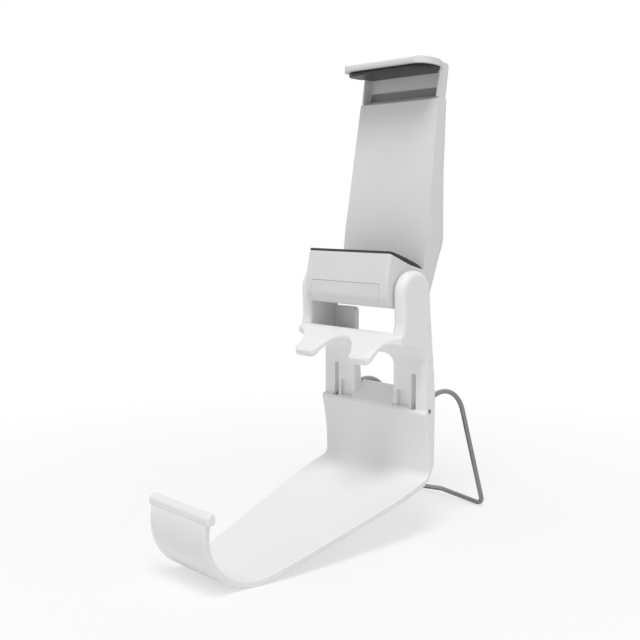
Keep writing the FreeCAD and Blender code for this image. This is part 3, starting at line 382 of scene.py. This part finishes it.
def make_lower_pad():
    """The strip in the block's dish, as a surface of u round its section and v along X.

    With c(u) and s(u) from a superellipse, y' = front + depth (1 + c) / 2, and the height is
    z' = dish(y') + wall(y') (1 + s) / 2, where the wall thins towards the housing and fills the
    dish at mid depth. In the last half millimetre of each end, x' follows a sine and the wall
    a cosine of the same quarter turn, so the end is round.
    """
    along, up = superellipse(LOWER_POINTS, LOWER_EXPONENT)
    reach = (1 + along) / 2
    section_y = LOWER_FRONT + (LOWER_BACK - LOWER_FRONT) * reach
    dish = np.interp(section_y, DISH_Y, DISH_Z) + LOWER_LIFT
    thinner = (LOWER_WALL_BACK - LOWER_WALL_FRONT) * reach ** LOWER_THINNING
    wall = LOWER_WALL_FRONT + thinner + LOWER_CROWN * np.sin(np.pi * reach)
    turn = np.linspace(0, np.pi / 2, LOWER_END_ROWS)
    end_x = LOWER_HALF_WIDTH - LOWER_END * (1 - np.sin(turn))
    end_share = 1 - LOWER_END_THINNER * (1 - np.cos(turn))
    flat_x = np.linspace(1 - LOWER_HALF_WIDTH, LOWER_HALF_WIDTH - 1, LOWER_MIDDLE_ROWS)
    x = np.concatenate([-end_x[::-1], flat_x, end_x])[:, None]
    share = np.concatenate([end_share[::-1], np.ones(flat_x.size), end_share])[:, None]
    height = dish + share * wall * (1 + up) / 2
    middle_y = section_y.mean()
    depth = middle_y + (section_y - middle_y) * (1 - LOWER_END_SHORTER * (1 - share))
    points = np.stack([np.broadcast_to(x, height.shape), depth, height], -1)
    return tube_mesh("lower_pad_strip", from_clamp(points))


# The upper pad: a thin rubber tee under the lip

UPPER_FRONT, UPPER_SHOULDER, UPPER_BACK = -2.1, 7.2, 11.05
UPPER_HALF_WIDTH, UPPER_NECK = 17.6, 15.85
UPPER_CORNER, UPPER_HEEL = 5.0, 1.2
UPPER_TURN_POINTS = 14
UPPER_TOP = 74.38
UPPER_WALL_FRONT, UPPER_WALL_BACK = 1.48, 0.88
UPPER_UNDER_SHARES = (0.05, 0.3, 0.55, 0.8)
UPPER_RIM, UPPER_RIM_ROWS = 0.4, 6
UPPER_SEAT_RISE, UPPER_SEAT_INSET = 0.985, 0.35
LIP_DROOP, LIP_RUN = 1.2, 14.8


def upper_outline():
    """Quarter turns and straight runs of the strip under the lip: a rounded tee from above."""
    turn = np.linspace(0, np.pi / 2, UPPER_TURN_POINTS)
    corner = np.stack([UPPER_HALF_WIDTH - UPPER_CORNER * (1 - np.sin(turn)),
                       UPPER_FRONT + UPPER_CORNER * (1 - np.cos(turn))], -1)
    heel = np.stack([UPPER_HALF_WIDTH - UPPER_HEEL * (1 - np.cos(turn)),
                     UPPER_SHOULDER - UPPER_HEEL * (1 - np.sin(turn))], -1)
    neck = np.array([[UPPER_NECK, UPPER_SHOULDER], [UPPER_NECK, UPPER_BACK]])
    right = np.concatenate([corner, heel, neck])
    return np.concatenate([right, right[::-1] * np.array([-1, 1])])


def make_upper_pad():
    """The strip under the lip, as rings of one outline from its underside up to the lip.

    Ring v is the outline drawn towards the middle by a share, or in by rim (1 - sin a) at the
    rounded lower rim, at z' = lip(y') - wall(y') (1 - rise(v)); the lip droops to the front, and
    the wall thins from the front to the back.
    """
    outline = upper_outline()
    centre = np.array([0, (UPPER_FRONT + UPPER_BACK) / 2])
    offset = outline - centre
    length = np.linalg.norm(offset, axis=1, keepdims=True)

    def ring(inset, rise, share=1.0):
        """The outline moved in by an inset and scaled by a share, at a rise from 0 to 1."""
        flat = centre + offset * (1 - inset / length) * share
        reach = (flat[:, 1] - UPPER_FRONT) / (UPPER_BACK - UPPER_FRONT)
        wall = UPPER_WALL_FRONT + (UPPER_WALL_BACK - UPPER_WALL_FRONT) * reach
        lip = UPPER_TOP - LIP_DROOP / LIP_RUN * (UPPER_BACK - flat[:, 1])
        return np.concatenate([flat, (lip - wall * (1 - rise))[:, None]], 1)

    rim_rise = UPPER_RIM / UPPER_WALL_FRONT
    under = [ring(UPPER_RIM, 0.0, share) for share in UPPER_UNDER_SHARES]
    rim = [ring(UPPER_RIM * (1 - np.sin(angle)), rim_rise * (1 - np.cos(angle)))
           for angle in np.linspace(0, np.pi / 2, UPPER_RIM_ROWS)]
    seat = [ring(0.0, UPPER_SEAT_RISE), ring(UPPER_SEAT_INSET, 1.0)]
    return tube_mesh("upper_pad_strip", from_clamp(np.stack(under + rim + seat)))


finish_piece(make_groove_end("groove_end_left", -1), "jaw", housing_white)
finish_piece(make_groove_end("groove_end_right", 1), "jaw", housing_white)
lower_pad = finish_piece(make_lower_pad(), "clamp", rubber, "lower_pad")
upper_pad = finish_piece(make_upper_pad(), "jaw", rubber, "upper_pad")


# Floor, light and camera

FLOOR_REACH = 3.0
FLOOR_LEVEL = 0.93
# The floor turns white for the camera from this share near the object to all of it further off
FADE_NEAR_SHARE, FADE_RUN = 0.6, (0.05, 0.24)
WORLD_LEVEL = 0.37

LAMP_TARGET = (0.0, 0.0, 0.08)
# Name, place, width in metres and power in watts
LAMPS = (
    ("key_lamp", (-0.45, -0.85, 0.2), 0.7, 0.9),
    ("side_lamp", (0.9, -0.1, 0.5), 0.8, 0.9),
    ("top_lamp", (0.25, -0.32, 1.02), 0.4, 6.2),
    ("back_lamp", (-0.3, 0.9, 0.6), 0.7, 0.8),
)

# The photo's view, as measured on the object
CAMERA_PLACE = (0.2055, -0.210025, 0.1084)
CAMERA_DOWN, CAMERA_ROUND = 7.01, 45
SENSOR_WIDTH = 36.0
IMAGE_PIXELS, FOCAL_PIXELS = 640, 917.5


def make_floor():
    """A wide pale floor that fades into the white surroundings for the camera alone."""
    shader = Shader("floor_pale")
    mesh = bpy.data.meshes.new("floor")
    corners = [(-1, -1, 0), (1, -1, 0), (1, 1, 0), (-1, 1, 0)]
    mesh.from_pydata((np.array(corners) * FLOOR_REACH).tolist(), [], [(0, 1, 2, 3)])
    mesh.materials.append(shader.material)
    shader.set(Base_Color=grey(FLOOR_LEVEL), Roughness=0.9)
    shader.set(Specular_IOR_Level=0.1)
    distance = shader.node("ShaderNodeVectorMath", {"operation": "LENGTH"},
                           {0: shader.place()}, "Value")
    fade = distance.clipped(*FADE_RUN) * (1 - FADE_NEAR_SHARE) + FADE_NEAR_SHARE
    lit = Socket(shader, shader.surface.outputs["BSDF"])
    white = shader.node("ShaderNodeEmission", None, {"Color": grey(1.0), "Strength": 1.0})
    mixed = shader.node("ShaderNodeMixShader", None,
                        {0: fade * shader.ray("Camera"), 1: lit, 2: white})
    shader.feed(shader.nodes["Material Output"].inputs["Surface"], mixed)
    link_object("floor", mesh)


def make_world():
    """Even soft light, with white seen by the camera, through glass and in reflections."""
    world = bpy.data.worlds.new("studio")
    bpy.context.scene.world = world
    studio = Tree(world)
    seen = studio.ray("Camera").larger(studio.ray("Transmission")).larger(studio.ray("Glossy"))
    background = studio.nodes["Background"]
    studio.feed(background.inputs["Color"], studio.blend(seen, grey(WORLD_LEVEL), grey(1.0)))
    studio.feed(background.inputs["Strength"], 1.0)


def soft_lamp(name, place, size, power):
    """A square area lamp at a place, turned to the middle of the object."""
    data = bpy.data.lights.new(name, "AREA")
    data.shape = "SQUARE"
    data.size = size
    data.energy = power
    lamp = link_object(name, data)
    lamp.location = place
    direction = Vector(LAMP_TARGET) - Vector(place)
    lamp.rotation_euler = direction.to_track_quat("-Z", "Y").to_euler()


def make_camera():
    """The camera of the photo's view, with the focal length given in the image's pixels."""
    data = bpy.data.cameras.new("camera")
    data.sensor_width = SENSOR_WIDTH
    data.lens = SENSOR_WIDTH * FOCAL_PIXELS / IMAGE_PIXELS
    camera = link_object("camera", data)
    camera.location = CAMERA_PLACE
    camera.rotation_euler = (math.radians(90 - CAMERA_DOWN), 0, math.radians(CAMERA_ROUND))
    bpy.context.scene.camera = camera


make_camera()
make_floor()
make_world()
for lamp in LAMPS:
    soft_lamp(*lamp)
bpy.context.scene.view_settings.view_transform = "Standard"
